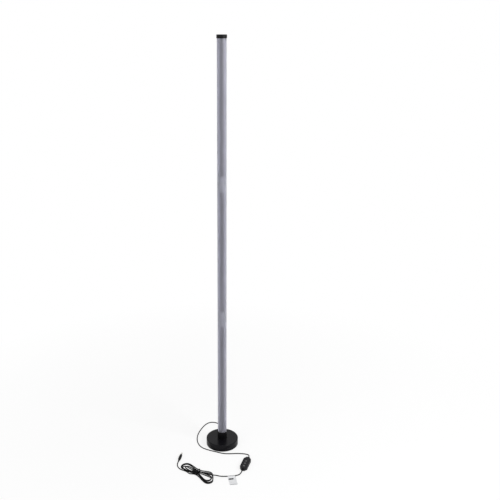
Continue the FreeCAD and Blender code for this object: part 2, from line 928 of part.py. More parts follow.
# The last run goes over both layers: along the left lobe, through the tie and
# out across the right lobe.
LAST_RUN = [((-105.5, -178), -11, 0), (WAIST, WAIST_HEADING, WAIST_LIFT),
            ((-47, -193), -12, 0)]
OUTLET_RUN = 20


def heading_vector(degrees):
    angle = math.radians(degrees)
    return Vector(math.cos(angle), math.sin(angle), 0)


def on_end(circle, degrees):
    """Where the line round a lobe's end has a heading, and the heading."""
    centre, radius = circle
    heading = heading_vector(degrees)
    return (centre[0] + radius * heading.y, centre[1] - radius * heading.x), degrees


def at_waist(side, degrees):
    """A place beside the waist's middle, 1 on the near side and -1 on the far."""
    reach = side * WAIST_HALF_WIDTH
    across = heading_vector(WAIST_HEADING)
    return (WAIST[0] + reach * across.y, WAIST[1] - reach * across.x), degrees


def loop_stations():
    """One loop's outermost line, counter-clockwise from the left lobe's near side:
    places, headings, the step from loop to loop, and the lift over the tie."""
    return [
        ((-105, -177), -10, 4.3, 0),
        (*at_waist(1, -37), WAIST_STEP, WAIST_LIFT),
        (*on_end(RIGHT_END, -64), LOBE_STEP, 0),
        (*on_end(RIGHT_END, 86), LOBE_STEP, 0),
        (*on_end(RIGHT_SHOULDER, 90), LOBE_STEP, 0),
        (*on_end(RIGHT_SHOULDER, 180), LOBE_STEP, 0),
        (*at_waist(-1, 145), WAIST_STEP, WAIST_LIFT),
        (*on_end(LEFT_END, 130), LOBE_STEP, 0),
        (*on_end(LEFT_END, 220), LOBE_STEP, 0),
        (*on_end(LEFT_END, 310), LOBE_STEP, 0),
    ]


def inward_steps(stage, stations):
    """How many steps in from the outermost line a stage of the hank lies. The
    loops spiral in, turn back in the middle of the climb, and spiral out."""
    middle = (CLIMB_FROM + CLIMB_TO) / 2
    return (middle - abs(stage - middle)) / stations


def layer_rise(stage):
    share = (stage - CLIMB_FROM) / (CLIMB_TO - CLIMB_FROM)
    return LAYER * max(0, min(1, share))


def hank_stages():
    """Places and headings that the hank's line runs through."""
    floor = size("lead_diameter / 2")
    loop = loop_stations()
    stages = []
    for stage in range(LOOPS * len(loop)):
        place, degrees, step, lift = loop[stage % len(loop)]
        heading = heading_vector(degrees)
        inward = Vector(-heading.y, heading.x, 0)
        height = floor + layer_rise(stage) + lift
        shift = inward * (step * inward_steps(stage, len(loop)))
        stages.append((Vector(*place, height) + shift, heading))
    for place, degrees, lift in LAST_RUN:
        top = floor + 2 * LAYER + lift
        stages.append((Vector(*place, top), heading_vector(degrees)))
    return stages


def tangent_arc(start, apex, end):
    """The arc from start to end whose end tangents meet at the apex."""
    one, two = apex - start, end - apex
    half_turn = one.getAngle(two) / 2
    chord_middle = (start + end) * 0.5
    if half_turn < 1e-4:
        return Part.LineSegment(start, end)
    share = math.cos(half_turn) / (1 + math.cos(half_turn))
    return Part.Arc(start, chord_middle + (apex - chord_middle) * share, end)


def biarc(start, start_heading, end, end_heading):
    """Two arcs that join two places with given headings."""
    across = end - start
    both = start_heading + end_heading
    spread = 2 * (1 - start_heading.dot(end_heading))
    lean = across.dot(both)
    if spread < 1e-6:
        reach = across.dot(across) / (2 * lean)
    else:
        reach = (math.sqrt(lean ** 2 + spread * across.dot(across)) - lean) / spread
    first, second = start + start_heading * reach, end - end_heading * reach
    joint = (first + second) * 0.5
    return [tangent_arc(start, first, joint), tangent_arc(joint, second, end)]


def hank_inlet():
    """The start of the hank, where the tail meets it."""
    point, heading = hank_stages()[0]
    return [tuple(point - heading * size("lead_diameter"))]


def hank_outlet():
    point, heading = hank_stages()[-1]
    return [tuple(point + heading * OUTLET_RUN)]


def least_gap(path, diameter):
    """The least gap of a path's tube to itself, on points along it."""
    points = path.discretize(Distance=diameter / 2)
    spacing = path.Length / (len(points) - 1)
    apart = int(math.pi * diameter / spacing)
    nearest = path.Length
    for i, point in enumerate(points):
        for other in points[i + apart:]:
            nearest = min(nearest, point.distanceToPoint(other))
    return nearest - diameter


def make_hank():
    stages = hank_stages()
    inlet = Vector(*hank_inlet()[0])
    outlet = Vector(*hank_outlet()[0])
    curves = [Part.LineSegment(inlet, stages[0][0])]
    for (start, start_heading), (end, end_heading) in zip(stages, stages[1:]):
        curves += biarc(start, start_heading, end, end_heading)
    curves.append(Part.LineSegment(stages[-1][0], outlet))
    path = Part.Wire([curve.toShape() for curve in curves])
    radii = [edge.Curve.Radius for edge in path.Edges
             if isinstance(edge.Curve, Part.Circle)]
    print("hank least radius", round(min(radii), 1), "least gap",
          round(least_gap(path, size("lead_diameter")), 2))
    lead_piece("cord_hank", path)


TIE_LENGTH = 4
TIE_WALL = 0.7
TIE_WIDTH = 21
TIE_LOW, TIE_HIGH = 0.15, 13.3
TIE_ROUNDING = 2.4


def rounded_bar(length, inset):
    """A bar along X with rounded long edges, drawn in from the tie's outside."""
    bar = doc.addObject("Part::Box", "TieBar")
    bar.Length = length
    bar.Width = TIE_WIDTH - 2 * inset
    bar.Height = TIE_HIGH - TIE_LOW - 2 * inset
    bar.Placement.Base = Vector(-length / 2, inset - TIE_WIDTH / 2, TIE_LOW + inset)
    doc.recompute()
    rounded = doc.addObject("Part::Fillet", "TieRounded")
    rounded.Base = bar
    radius = TIE_ROUNDING - inset
    rounded.Edges = [(number, radius, radius) for number, edge in enumerate(
        bar.Shape.Edges, start=1) if edge.BoundBox.XLength > length - 0.01]
    return rounded


def make_hank_tie():
    """A flat tie round the waist of the hank, as a rounded loop."""
    loop = cut(rounded_bar(TIE_LENGTH, 0), rounded_bar(TIE_LENGTH + 2, TIE_WALL))
    loop.Placement = Placement(Vector(*WAIST, 0),
                               Rotation(Vector(0, 0, 1), WAIST_HEADING))
    keep(loop, "hank_tie")


# ---------------------------------------------------------------- tag and plug

TAG_CENTRE = (30, -191.5, 2.15)
TAG_TURN = 7.4
TAG_WIDTH = 26
TAG_REACH = 44
TAG_FILM = 0.15
TAG_SLACK = 0.15


def make_tag():
    """A label folded round the lead, its two leaves lying on the floor."""
    hole = size("lead_diameter / 2") + TAG_SLACK
    outer = hole + TAG_FILM
    sleeve_solid = Part.makeCylinder(outer, TAG_WIDTH, Vector(-TAG_WIDTH / 2, 0, 0),
                                     Vector(1, 0, 0))
    bore = Part.makeCylinder(hole, TAG_WIDTH + 2, Vector(-TAG_WIDTH / 2 - 1, 0, 0),
                             Vector(1, 0, 0))
    leaf = Part.makeBox(TAG_WIDTH, TAG_REACH, 2 * TAG_FILM,
                        Vector(-TAG_WIDTH / 2, -TAG_REACH, -outer))
    item = doc.addObject("Part::Feature", "Tag")
    item.Shape = sleeve_solid.fuse(leaf).cut(bore).removeSplitter()
    item.Placement = Placement(Vector(*TAG_CENTRE), Rotation(Vector(0, 0, 1), TAG_TURN))
    keep(item, "cord_tag")


def make_plug():
    place = Placement(Vector(*PLUG_TAIL),
                      Rotation(Vector(0, 0, 1), Vector(*PLUG_HEADING)))
    end = "plug_length"
    body = turned([
        ("0", "0"), ("2.1", "0"), ("2.9", "11"), ("3.9", "12"), ("4.8", "17"),
        ("plug_radius", "24"), ("4.8", "32"), ("4.1", "37.5"), ("3.6", end), ("0", end),
    ])
    body.Placement = place
    keep(body, "plug_body")
    barrel = turned([
        ("barrel_diameter / 2 - 0.5", end), ("barrel_diameter / 2", end),
        ("barrel_diameter / 2", end + " + barrel_length - 0.3"),
        ("barrel_diameter / 2 - 0.3", end + " + barrel_length"),
        ("barrel_diameter / 2 - 0.5", end + " + barrel_length"),
    ])
    barrel.Placement = place
    keep(barrel, "plug_barrel")
    core = turned([
        ("barrel_bore / 2", end), ("barrel_diameter / 2 - 0.55", end),
        ("barrel_diameter / 2 - 0.55", end + " + barrel_length + 0.3"),
        ("barrel_bore / 2", end + " + barrel_length + 0.3"),
    ])
    core.Placement = place
    keep(core, "plug_insulator")


# ---------------------------------------------------------------- build

def check_all():
    """Stop if any object failed or any sub-part is not a valid shape."""
    for item in doc.Objects:
        for fault in ("Invalid", "Error"):
            if fault in item.State:
                raise RuntimeError(f"{item.Name} ({item.Label}): {item.State}")
    for item in subparts:
        if item.Shape.isNull() or not item.Shape.isValid():
            raise RuntimeError(f"{item.Label}: shape is not valid")


make_foot_ring()
make_base_tray()
make_base_cover()
make_base_weight()
make_base_screws()
make_socket_collar()
make_collar_screws()
make_base_relief()
make_lead_clamp()
make_tubes()
make_joiners()
make_carriers()
make_strips()
make_clips()
make_strip_links()
make_top_cap()
make_controller_bottom()
make_controller_top()
make_controller_inside()
make_buttons()
make_controller_reliefs()
make_lead_stretches()
make_base_lead()
make_hank()
make_hank_tie()
make_tag()
make_plug()
doc.recompute()
check_all()

os.makedirs("parts", exist_ok=True)
for item in subparts:
    item.Shape.exportStep(f"parts/{item.Label}.step")
print(len(subparts), "sub-parts")
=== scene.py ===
"""Corner floor lamp: a slim frosted light pole on a round black base, with an inline
controller and a bundled plug lead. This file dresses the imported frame: it adds the
leads and the moulded details, finishes every surface, and sets the studio."""
import json
import math

import bmesh
import bpy
from bpy.props import FloatProperty, FloatVectorProperty, PointerProperty
from mathutils import Matrix, Vector

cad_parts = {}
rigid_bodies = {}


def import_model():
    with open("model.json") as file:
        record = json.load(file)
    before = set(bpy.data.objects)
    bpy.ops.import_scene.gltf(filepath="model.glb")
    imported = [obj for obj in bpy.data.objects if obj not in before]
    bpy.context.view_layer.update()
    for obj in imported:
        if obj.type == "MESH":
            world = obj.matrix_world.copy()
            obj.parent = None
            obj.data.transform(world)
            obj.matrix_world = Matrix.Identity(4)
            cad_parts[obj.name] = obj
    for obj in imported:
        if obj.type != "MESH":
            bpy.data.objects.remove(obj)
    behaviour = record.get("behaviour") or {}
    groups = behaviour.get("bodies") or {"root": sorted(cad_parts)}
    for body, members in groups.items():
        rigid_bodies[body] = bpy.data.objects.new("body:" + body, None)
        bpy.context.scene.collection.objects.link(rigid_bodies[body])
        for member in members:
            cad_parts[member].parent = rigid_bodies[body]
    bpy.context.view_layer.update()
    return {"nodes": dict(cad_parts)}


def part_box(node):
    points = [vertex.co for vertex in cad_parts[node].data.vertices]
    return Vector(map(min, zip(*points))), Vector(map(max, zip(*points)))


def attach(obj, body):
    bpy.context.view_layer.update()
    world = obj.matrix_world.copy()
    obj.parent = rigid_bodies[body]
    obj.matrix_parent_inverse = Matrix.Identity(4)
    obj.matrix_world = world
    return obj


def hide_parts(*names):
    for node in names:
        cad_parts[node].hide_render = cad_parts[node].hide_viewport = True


bl_info = {
    "name": "Corner floor lamp",
    "version": (1, 0, 0),
    "blender": (4, 5, 0),
    "location": "3D View > Sidebar > Lamp",
    "description": "Leads, moulded details, finishes and studio of a corner floor lamp",
    "category": "Object",
}


def clear_startup():
    """Removes what a new file holds, so that only the lamp and its studio remain."""
    for item in list(bpy.data.objects):
        bpy.data.objects.remove(item)


clear_startup()
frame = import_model()

MM = 0.001
BODY = "lamp"
SENSOR_WIDTH = 36


def linear(hex_colour):
    """An sRGB colour such as "#1b1b1d" as linear red, green, blue and alpha."""
    channels = [int(hex_colour[i:i + 2], 16) / 255 for i in (1, 3, 5)]
    return [c / 12.92 if c <= 0.04045 else ((c + 0.055) / 1.055) ** 2.4
            for c in channels] + [1.0]


def colour(name, description, hex_colour):
    """A colour that a user may change."""
    return FloatVectorProperty(name=name, description=description, subtype="COLOR",
                               size=4, min=0, max=1, default=linear(hex_colour))


def length(name, description, millimetres):
    """A length that a user may change, written in millimetres."""
    return FloatProperty(name=name, description=description, unit="LENGTH",
                         default=millimetres * MM)


# ---------------------------------------------------------------- settings

class LeadSettings(bpy.types.PropertyGroup):
    """The lead's section and its two parts' lengths."""
    diameter: length("Diameter", "Outer diameter of the lead", 3.4)
    lamp_part: length("Lamp part", "Lead from the base to the controller", 455)
    plug_part: length("Plug part", "Lead from the controller to the plug", 1478)


class FinishSettings(bpy.types.PropertyGroup):
    """The colours of the lamp."""
    diffuser: colour("Diffuser", "Frosted polycarbonate of the tubes", "#dadae6")
    base: colour("Base", "Moulded plastic of the base", "#0d0c10")
    neck: colour("Neck", "Moulded plastic of the neck and the cap", "#09090b")
    lead: colour("Lead", "Flexible plastic of the lead", "#0b0b0c")
    tag: colour("Tag", "Film of the tag on the lead", "#dfe0e2")


class StageSettings(bpy.types.PropertyGroup):
    """The camera and the light."""
    camera_back: FloatProperty(name="Camera distance", unit="LENGTH", default=2.2566,
                               description="Distance from the pole to the camera")
    camera_height: FloatProperty(name="Camera height", unit="LENGTH", default=1.4558,
                                 description="Height of the camera over the floor")
    camera_tilt: FloatProperty(name="Camera tilt", subtype="ANGLE",
                               default=math.radians(14.34),
                               description="How far the camera looks down")
    camera_roll: FloatProperty(name="Camera roll", subtype="ANGLE", default=-0.0014,
                               description="How far the camera leans to the side")
    lens: FloatProperty(name="Lens", default=52.17,
                        description="Focal length in millimetres on a 36 mm sensor")
    shift_x: FloatProperty(name="Shift X", default=0.0562,
                           description="Shift of the view to the side")
    shift_y: FloatProperty(name="Shift Y", default=-0.0986,
                           description="Shift of the view upwards")
    ambient: FloatProperty(name="Ambient", default=0.55,
                           description="Level of the light from all round")
    key_power: FloatProperty(name="Key", default=45, unit="POWER",
                             description="Power of the large lamp on the right")
    fill_power: FloatProperty(name="Fill", default=8, unit="POWER",
                              description="Power of the lamp on the left")


# ---------------------------------------------------------------- finishes

def add_node(tree, kind, values=None, links=None, **settings):
    """Adds one shader node, sets its properties and socket values, and links its
    inputs to the outputs that are given."""
    made = tree.nodes.new("ShaderNode" + kind)
    for name, value in settings.items():
        setattr(made, name, value)
    for name, value in (values or {}).items():
        made.inputs[name].default_value = value
    for name, output in (links or {}).items():
        tree.links.new(output, made.inputs[name])
    return made


def scale_of(millimetres):
    """The scale at which a pattern in metres repeats about every so many millimetres."""
    return 1 / (millimetres * MM)


def new_finish(name, **shader_values):
    """An empty material with one Principled shader, and where its patterns start."""
    material = bpy.data.materials.new(name)
    material.use_nodes = True
    tree = material.node_tree
    tree.nodes.clear()
    values = {key.replace("_", " "): value for key, value in shader_values.items()}
    shader = add_node(tree, "BsdfPrincipled", values)
    add_node(tree, "OutputMaterial", links={"Surface": shader.outputs["BSDF"]})
    place = add_node(tree, "TexCoord").outputs["Object"]
    return material, tree, shader, place


def vary_colour(tree, shader, pattern, low, high):
    """Colours the surface from low to high along a pattern of 0 to 1."""
    ramp = add_node(tree, "ValToRGB", links={"Fac": pattern})
    ramp.color_ramp.elements[0].color = low
    ramp.color_ramp.elements[1].color = high
    tree.links.new(ramp.outputs["Color"], shader.inputs["Base Color"])


def vary_roughness(tree, shader, pattern, low, high):
    """Makes the surface shinier where the pattern is low."""
    spread = add_node(tree, "MapRange", {"To Min": low, "To Max": high},
                      {"Value": pattern})
    tree.links.new(spread.outputs["Result"], shader.inputs["Roughness"])


def raise_surface(tree, shader, pattern, depth_mm):
    """Gives the surface fine relief, so many millimetres deep."""
    bump = add_node(tree, "Bump", {"Distance": depth_mm * MM, "Strength": 1.0},
                    {"Height": pattern})
    tree.links.new(bump.outputs["Normal"], shader.inputs["Normal"])


def noise(tree, place, size_mm, detail=3.0, stretch=None):
    """Cloudy noise whose patches are about so many millimetres wide."""
    if stretch:
        place = add_node(tree, "Mapping", {"Scale": stretch},
                         {"Vector": place}).outputs["Vector"]
    return add_node(tree, "TexNoise", {"Scale": scale_of(size_mm), "Detail": detail},
                    {"Vector": place}).outputs["Fac"]


def shade(rgba, share):
    """A colour made lighter or darker by a share."""
    return [min(1, channel * share) for channel in rgba[:3]] + [1.0]


def moulded_plastic(name, rgba, roughness, grit_mm, grit_depth_mm, gloss=0.5):
    """Injection-moulded plastic: a fine even grit from the mould that breaks up the
    highlights, and faint cloudy variation where hands have rubbed it."""
    material, tree, shader, place = new_finish(name, IOR=1.53, Specular_IOR_Level=gloss)
    clouds = noise(tree, place, 28, 4)
    grit = noise(tree, place, grit_mm, 2)
    vary_colour(tree, shader, clouds, shade(rgba, 0.92), shade(rgba, 1.08))
    vary_roughness(tree, shader, clouds, roughness - 0.06, roughness + 0.06)
    raise_surface(tree, shader, grit, grit_depth_mm)
    return material


def base_abs():
    """Semi-gloss black ABS: the top of the base mirrors the pole softly."""
    return moulded_plastic("semi_gloss_abs", finish_colours().base[:], 0.30, 0.9, 0.01,
                           0.1)


def collar_abs():
    """Satin black ABS of the neck and the cap: near black with a soft highlight."""
    return moulded_plastic("satin_abs", finish_colours().neck[:], 0.38, 0.7, 0.01, 0.12)


def case_abs():
    """Textured black ABS of the controller: matt, with an eroded grain."""
    return moulded_plastic("textured_abs", linear("#18171b"), 0.46, 0.8, 0.03, 0.1)


def button_abs():
    """Polished black ABS of the buttons: smoother than the case round them."""
    return moulded_plastic("polished_abs", linear("#242426"), 0.2, 1.2, 0.004, 0.8)


def foot_rubber():
    """Foamed rubber of the foot ring: dead matt and pitted."""
    return moulded_plastic("foam_rubber", linear("#242425"), 0.88, 0.6, 0.08, 0.2)


def relief_pvc():
    """Soft PVC of the strain reliefs: a dull sheen."""
    return moulded_plastic("soft_pvc", linear("#101011"), 0.42, 0.8, 0.01, 0.1)


def lead_pvc():
    """Extruded PVC of the lead: fine drawn skin with a soft long highlight."""
    return moulded_plastic("extruded_pvc", finish_colours().lead[:], 0.4, 1.4, 0.01,
                           0.06)


def tie_pvc():
    """PVC-coated wire tie: a dull black skin."""
    return moulded_plastic("coated_wire", linear("#0e0e0f"), 0.5, 1.0, 0.01, 0.08)


def plug_pvc():
    """Moulded PVC of the plug's grip: satin black."""
    return moulded_plastic("moulded_pvc", linear("#101011"), 0.34, 0.9, 0.01, 0.12)


def plug_core():
    """Dark insulator inside the barrel."""
    return moulded_plastic("barrel_insulator", linear("#2b2a26"), 0.4, 0.8, 0.01)


def clamp_nylon():
    """Black nylon of the lead clamp inside the base."""
    return moulded_plastic("black_nylon", linear("#202022"), 0.5, 1.0, 0.02)


def natural_nylon(name):
    """Undyed nylon: milky, warm and slightly waxy."""
    material, tree, shader, place = new_finish(
        name, IOR=1.53, Subsurface_Weight=0.3, Subsurface_Scale=0.002)
    clouds = noise(tree, place, 5, 3)
    vary_colour(tree, shader, clouds, linear("#dcd8cb"), linear("#ece9de"))
    vary_roughness(tree, shader, clouds, 0.38, 0.52)
    return material


def clip_nylon():
    """The carrier's clips."""
    return natural_nylon("nylon_clip")


def link_nylon():
    """The housings of the strip's plug links."""
    return natural_nylon("nylon_link")


def switch_nylon():
    """The bodies of the switches."""
    return natural_nylon("nylon_switch")


def tube_frosted():
    """Extruded polycarbonate with a frosted skin: milky and cool grey, so that the
    carrier inside shows as a darker core and the edges stay pale."""
    tint = finish_colours().diffuser[:]
    material, tree, shader, place = new_finish(
        "frosted_polycarbonate", IOR=1.58, Transmission_Weight=0.9)
    clouds = noise(tree, place, 45, 3, (1, 1, 0.3))
    grain = noise(tree, place, 0.8, 2)
    vary_colour(tree, shader, clouds, shade(tint, 0.97), shade(tint, 1.03))
    vary_roughness(tree, shader, clouds, 0.42, 0.5)
    raise_surface(tree, shader, grain, 0.01)
    return material


def joiner_clear():
    """Milky polycarbonate sleeve inside the seam: it makes a paler band there."""
    material, tree, shader, place = new_finish(
        "milky_polycarbonate", IOR=1.58, Transmission_Weight=0.1)
    clouds = noise(tree, place, 20, 2)
    vary_colour(tree, shader, clouds, linear("#d3d6cd"), linear("#dee1d8"))
    vary_roughness(tree, shader, clouds, 0.3, 0.4)
    return material


def carrier_aluminium():
    """Extruded aluminium: fine die lines along its length stretch the highlights."""
    material, tree, shader, place = new_finish("extruded_aluminium", Metallic=1.0)
    lines = noise(tree, place, 0.5, 2, (1, 1, 0.01))
    vary_colour(tree, shader, lines, linear("#3f4044"), linear("#525358"))
    vary_roughness(tree, shader, lines, 0.34, 0.48)
    raise_surface(tree, shader, lines, 0.02)
    return material


def bright_metal(name, dark, light, roughness, size_mm):
    """Plated metal: mirror-like, with faint variation from the plating."""
    material, tree, shader, place = new_finish(name, Metallic=1.0)
    clouds = noise(tree, place, size_mm, 3)
    vary_colour(tree, shader, clouds, linear(dark), linear(light))
    vary_roughness(tree, shader, clouds, roughness, roughness + 0.1)
    return material


def screw_steel():
    """Zinc-plated steel screws: bluish and bright."""
    return bright_metal("zinc_plated_steel", "#a8abb0", "#c6c9cd", 0.25, 1.5)


def plug_nickel():
    """Nickel-plated brass barrel: bright with a faint warm tone."""
    return bright_metal("nickel_plated_brass", "#c4c1bb", "#dbd9d4", 0.14, 3)


def can_steel():
    """The microphone's drawn steel can."""
    return bright_metal("drawn_steel", "#9a9c9f", "#b4b6b9", 0.3, 1)


def weight_iron():
    """Cast iron weight: dark, rough and grainy from the sand mould."""
    material, tree, shader, place = new_finish("cast_iron", Metallic=0.8)
    sand = noise(tree, place, 1.2, 4)
    vary_colour(tree, shader, sand, linear("#35332f"), linear("#504c47"))
    vary_roughness(tree, shader, sand, 0.55, 0.75)
    raise_surface(tree, shader, sand, 0.15)
    return material


# The light strip's chips, in millimetres.
CHIP_PITCH = 33
CHIP_SIZE = 5


def strip_board():
    """Flexible strip with white solder mask, and yellow phosphor chips in a row."""
    material, tree, shader, place = new_finish("white_light_strip", IOR=1.5)
    clouds = noise(tree, place, 12, 2)
    vary_roughness(tree, shader, clouds, 0.3, 0.45)
    split = add_node(tree, "SeparateXYZ", links={0: place})
    turn = add_node(tree, "Math", {1: scale_of(CHIP_PITCH)}, {0: split.outputs["Z"]},
                    operation="MULTIPLY").outputs[0]
    along = add_node(tree, "Math", links={0: turn}, operation="FRACT").outputs[0]
    on_row = add_node(tree, "Math", {1: CHIP_SIZE / CHIP_PITCH}, {0: along},
                      operation="LESS_THAN").outputs[0]
    aside = add_node(tree, "Math", links={0: split.outputs["X"]},
                     operation="ABSOLUTE").outputs[0]
    in_width = add_node(tree, "Math", {1: CHIP_SIZE / 2 * MM}, {0: aside},
                        operation="LESS_THAN").outputs[0]
    chips = add_node(tree, "Math", links={0: on_row, 1: in_width},
                     operation="MULTIPLY").outputs[0]
    vary_colour(tree, shader, chips, linear("#c9cac6"), linear("#c2b45c"))
    return material


def board_laminate():
    """Glass-epoxy board with green solder mask: glossy, with a woven undertone."""
    material, tree, shader, place = new_finish("green_board_laminate", IOR=1.5)
    weave = add_node(tree, "TexChecker", {"Scale": scale_of(0.8)},
                     {"Vector": place}).outputs["Fac"]
    vary_colour(tree, shader, weave, linear("#16532f"), linear("#1a5b35"))
    vary_roughness(tree, shader, noise(tree, place, 6, 2), 0.2, 0.3)
    return material


def chip_epoxy():
    """Black epoxy of the driver chip: matt with a fine grain."""
    return moulded_plastic("chip_epoxy", linear("#1c1c1d"), 0.6, 0.6, 0.02)


def receiver_epoxy():
    """Dark filter epoxy of the remote receiver: glossy and almost black."""
    return moulded_plastic("filter_epoxy", linear("#160f12"), 0.12, 2, 0.002)


# Where the painted shadow of the lead in the tag ends, in millimetres ahead of the lead.
FOLD_SHADOW = (1.2, 3.2)
FOLD_SHADE = 0.55


def tag_film():
    """Matt white polyester film: pale with a soft sheen, and grey at its fold, where a
    painted shadow of the lead darkens it."""
    tint = finish_colours().tag[:]
    dark_to, clear_from = FOLD_SHADOW
    material, tree, shader, place = new_finish("white_polyester_film", IOR=1.57)
    ahead = add_node(tree, "VectorMath", {1: tuple(heading_vector(TAG_TURN - 90))},
                     {0: place}, operation="DOT_PRODUCT").outputs["Value"]
    fold = Vector((*TAG_PLACE, 0)).dot(heading_vector(TAG_TURN - 90))
    clear = add_node(tree, "MapRange", {"From Min": fold + dark_to * MM,
                                        "From Max": fold + clear_from * MM},
                     {"Value": ahead})
    clouds = noise(tree, place, 9, 3)
    # Painted shadow: the film is darker at the fold round the lead, and clears between
    # the two FOLD_SHADOW distances ahead of it.
    vary_colour(tree, shader, clear.outputs["Result"], shade(tint, FOLD_SHADE), tint)
    vary_roughness(tree, shader, clouds, 0.42, 0.55)
    return material


def tag_print():
    """Matt black printing ink, a little uneven where the film shows through."""
    return moulded_plastic("black_printing_ink", linear("#1d1d1e"), 0.6, 1.5, 0.004, 0.2)


FINISHES = {maker.__name__: maker for maker in (
    base_abs, collar_abs, foot_rubber, weight_iron, screw_steel, relief_pvc, lead_pvc,
    clamp_nylon, tube_frosted, joiner_clear, carrier_aluminium, strip_board,
    clip_nylon, link_nylon, case_abs, button_abs, board_laminate, chip_epoxy,
    switch_nylon, can_steel, receiver_epoxy, tie_pvc, tag_film, tag_print, plug_pvc,
    plug_nickel, plug_core)}
made_finishes = {}


def finish_colours():
    """The colours that a user may change."""
    return bpy.context.scene.corner_lamp_finish


def finish_for(slot):
    """The finish of a material slot, made the first time that it is asked for."""
    if slot not in made_finishes:
        made_finishes[slot] = FINISHES[slot]()
    return made_finishes[slot]


class CORNER_LAMP_OT_finishes(bpy.types.Operator):
    """Give every construction part its finish"""
    bl_idname = "corner_lamp.finishes"
    bl_label = "Finishes"

    def execute(self, context):
        for node in frame["nodes"].values():
            slot = node.data.materials[0].name
            node.data.materials[0] = finish_for(slot)
        return {"FINISHED"}


# ---------------------------------------------------------------- camera and leads

class CORNER_LAMP_OT_camera(bpy.types.Operator):
    """Set up the camera in front of the lamp"""
    bl_idname = "corner_lamp.camera"
    bl_label = "Camera"

    def execute(self, context):
        stage = context.scene.corner_lamp_stage
        camera = bpy.data.cameras.new("front_camera")
        camera.sensor_width = SENSOR_WIDTH
        camera.lens = stage.lens
        camera.shift_x = stage.shift_x
        camera.shift_y = stage.shift_y
        holder = bpy.data.objects.new("front_camera", camera)
        holder.location = (0, -stage.camera_back, stage.camera_height)
        tilt = Matrix.Rotation(math.pi / 2 - stage.camera_tilt, 3, "X")
        roll = Matrix.Rotation(stage.camera_roll, 3, "Z")
        holder.rotation_euler = (tilt @ roll).to_euler()
        context.scene.collection.objects.link(holder)
        context.scene.camera = holder
        return {"FINISHED"}


# Points of the lead's route in metres, as its solids in the frame follow it.
LAMP_ROUTE = [
    (0, 0.06705, 0.007), (0, 0.077, 0.007), (0.0004, 0.089, 0.0046),
    (-0.003, 0.106, 0.0019), (-0.0125, 0.1215, 0.0017), (-0.029, 0.1315, 0.0017),
    (-0.048, 0.130, 0.0017), (-0.063, 0.114, 0.0017), (-0.075, 0.089, 0.0017),
    (-0.086, 0.058, 0.0017), (-0.090, 0.026, 0.0017), (-0.085, -0.007, 0.0017),
    (-0.071, -0.0315, 0.0017), (-0.047, -0.0455, 0.0017), (-0.022, -0.0555, 0.0017),
    (0.003, -0.0665, 0.0017), (0.027, -0.0675, 0.0017), (0.050, -0.0656, 0.0017),
    (0.068, -0.0672, 0.0019), (0.0795, -0.0715, 0.0034), (0.0878, -0.0777, 0.0052),
    (0.0918, -0.0850, 0.006), (0.09007, -0.0920, 0.006),
]
CONTROLLER_OUTLET = (0.06473, -0.1700, 0.006)
PLUG_TAIL = (-0.1476, -0.1172, 0.005)
HANK_ROUTE = [
    CONTROLLER_OUTLET, (0.06318, -0.17475, 0.006), (0.0606, -0.181, 0.0051),
    (0.0555, -0.186, 0.0035), (0.0465, -0.1892, 0.00215), (0.030, -0.1916, 0.00215),
    (0.012, -0.1937, 0.00215), (-0.007, -0.1973, 0.0052), (-0.0186, -0.199, 0.0096),
    (-0.0274, -0.1972, 0.0096),
]
TAIL_ROUTE = [
    (-0.1130, -0.1720, 0.0017), (-0.1185, -0.1662, 0.0017), (-0.1255, -0.1617, 0.0017),
    (-0.1345, -0.1575, 0.0017), (-0.1435, -0.1495, 0.0017), (-0.1487, -0.1395, 0.0024),
    (-0.1499, -0.1315, 0.004), (-0.14896, -0.12407, 0.005), PLUG_TAIL,
]

# The hank lies in two lobes with its waist between them, on headings in degrees.
WAIST = (-0.080, -0.1755)
WAIST_HEADING = -35
LEFT_HEADING = 141.2
# Heights in millimetres: how far the tie holds the waist up, the lead's centre on the
# floor, and the rise from one layer to the next.
WAIST_LIFT = 1.1
FLOOR_LINE = 1.7
LAYER = 3.95
# This many loops lie on the floor, and the others on them.
FLOOR_LOOPS = 2
# One entry for each loop: the first and last lie outside, the others slack inside them.
# Left ends in millimetres along and beside the left lobe's line, and their radius. The
# flanks and the waist are in millimetres too.
LEFT_ENDS = ((51.4, 1.9, 14.5), (46, 1.5, 7.2), (49, -7.8, 7.2), (48.4, -1.1, 17.5))
NEAR_FLANKS = (-20, -12.8, -9, -14)
NEAR_FLANK_ALONG = 18.5
WAIST_NEAR = (-8, -3.6, -1.3, -5.7)
WAIST_FAR = (5.7, 1.3, 3.6, 8)
# Right ends in metres on the floor with their radius: the round end, then its shoulder.
RIGHT_ENDS = ((-0.0455, -0.215, 0.0146), (-0.0485, -0.2055, 0.012),
              (-0.0478, -0.2062, 0.013), (-0.0455, -0.215, 0.0146))
SHOULDERS = ((-0.0485, -0.1905, 0.0156), RIGHT_ENDS[1], RIGHT_ENDS[2],
             (-0.0485, -0.1905, 0.0167))
# Headings in degrees of the points round each end, for an outer and for a slack loop.
RIGHT_HEADINGS = {False: (-60, -10, 40, 84), True: (-60, -15, 30, 75)}
SHOULDER_HEADINGS = {False: (98, 138, 176), True: (112, 140)}
LEFT_HEADINGS = (132, 177, 222, 267, 308)
# The slack loops, and how far aside their far flanks lie halfway to the left end.
SLACK_LOOPS = {1: 8, 2: -3}
SLACK_ALONG = 22
# Where the lead climbs from the lower layer to the upper one, as shares of a layer.
CLIMB = {(1, -2): 0.1, (1, -1): 0.35, (2, 0): 0.65, (2, 1): 0.92}
# The last run on top: millimetres along and beside the left lobe's line, and its lift.
OVER_THE_TOP = ((18.3, -15.5, 0), (0, 0, WAIST_LIFT), (-36.6, 7.1, 0))


def heading_vector(degrees):
    """A level direction."""
    return Vector((math.cos(math.radians(degrees)), math.sin(math.radians(degrees)), 0))


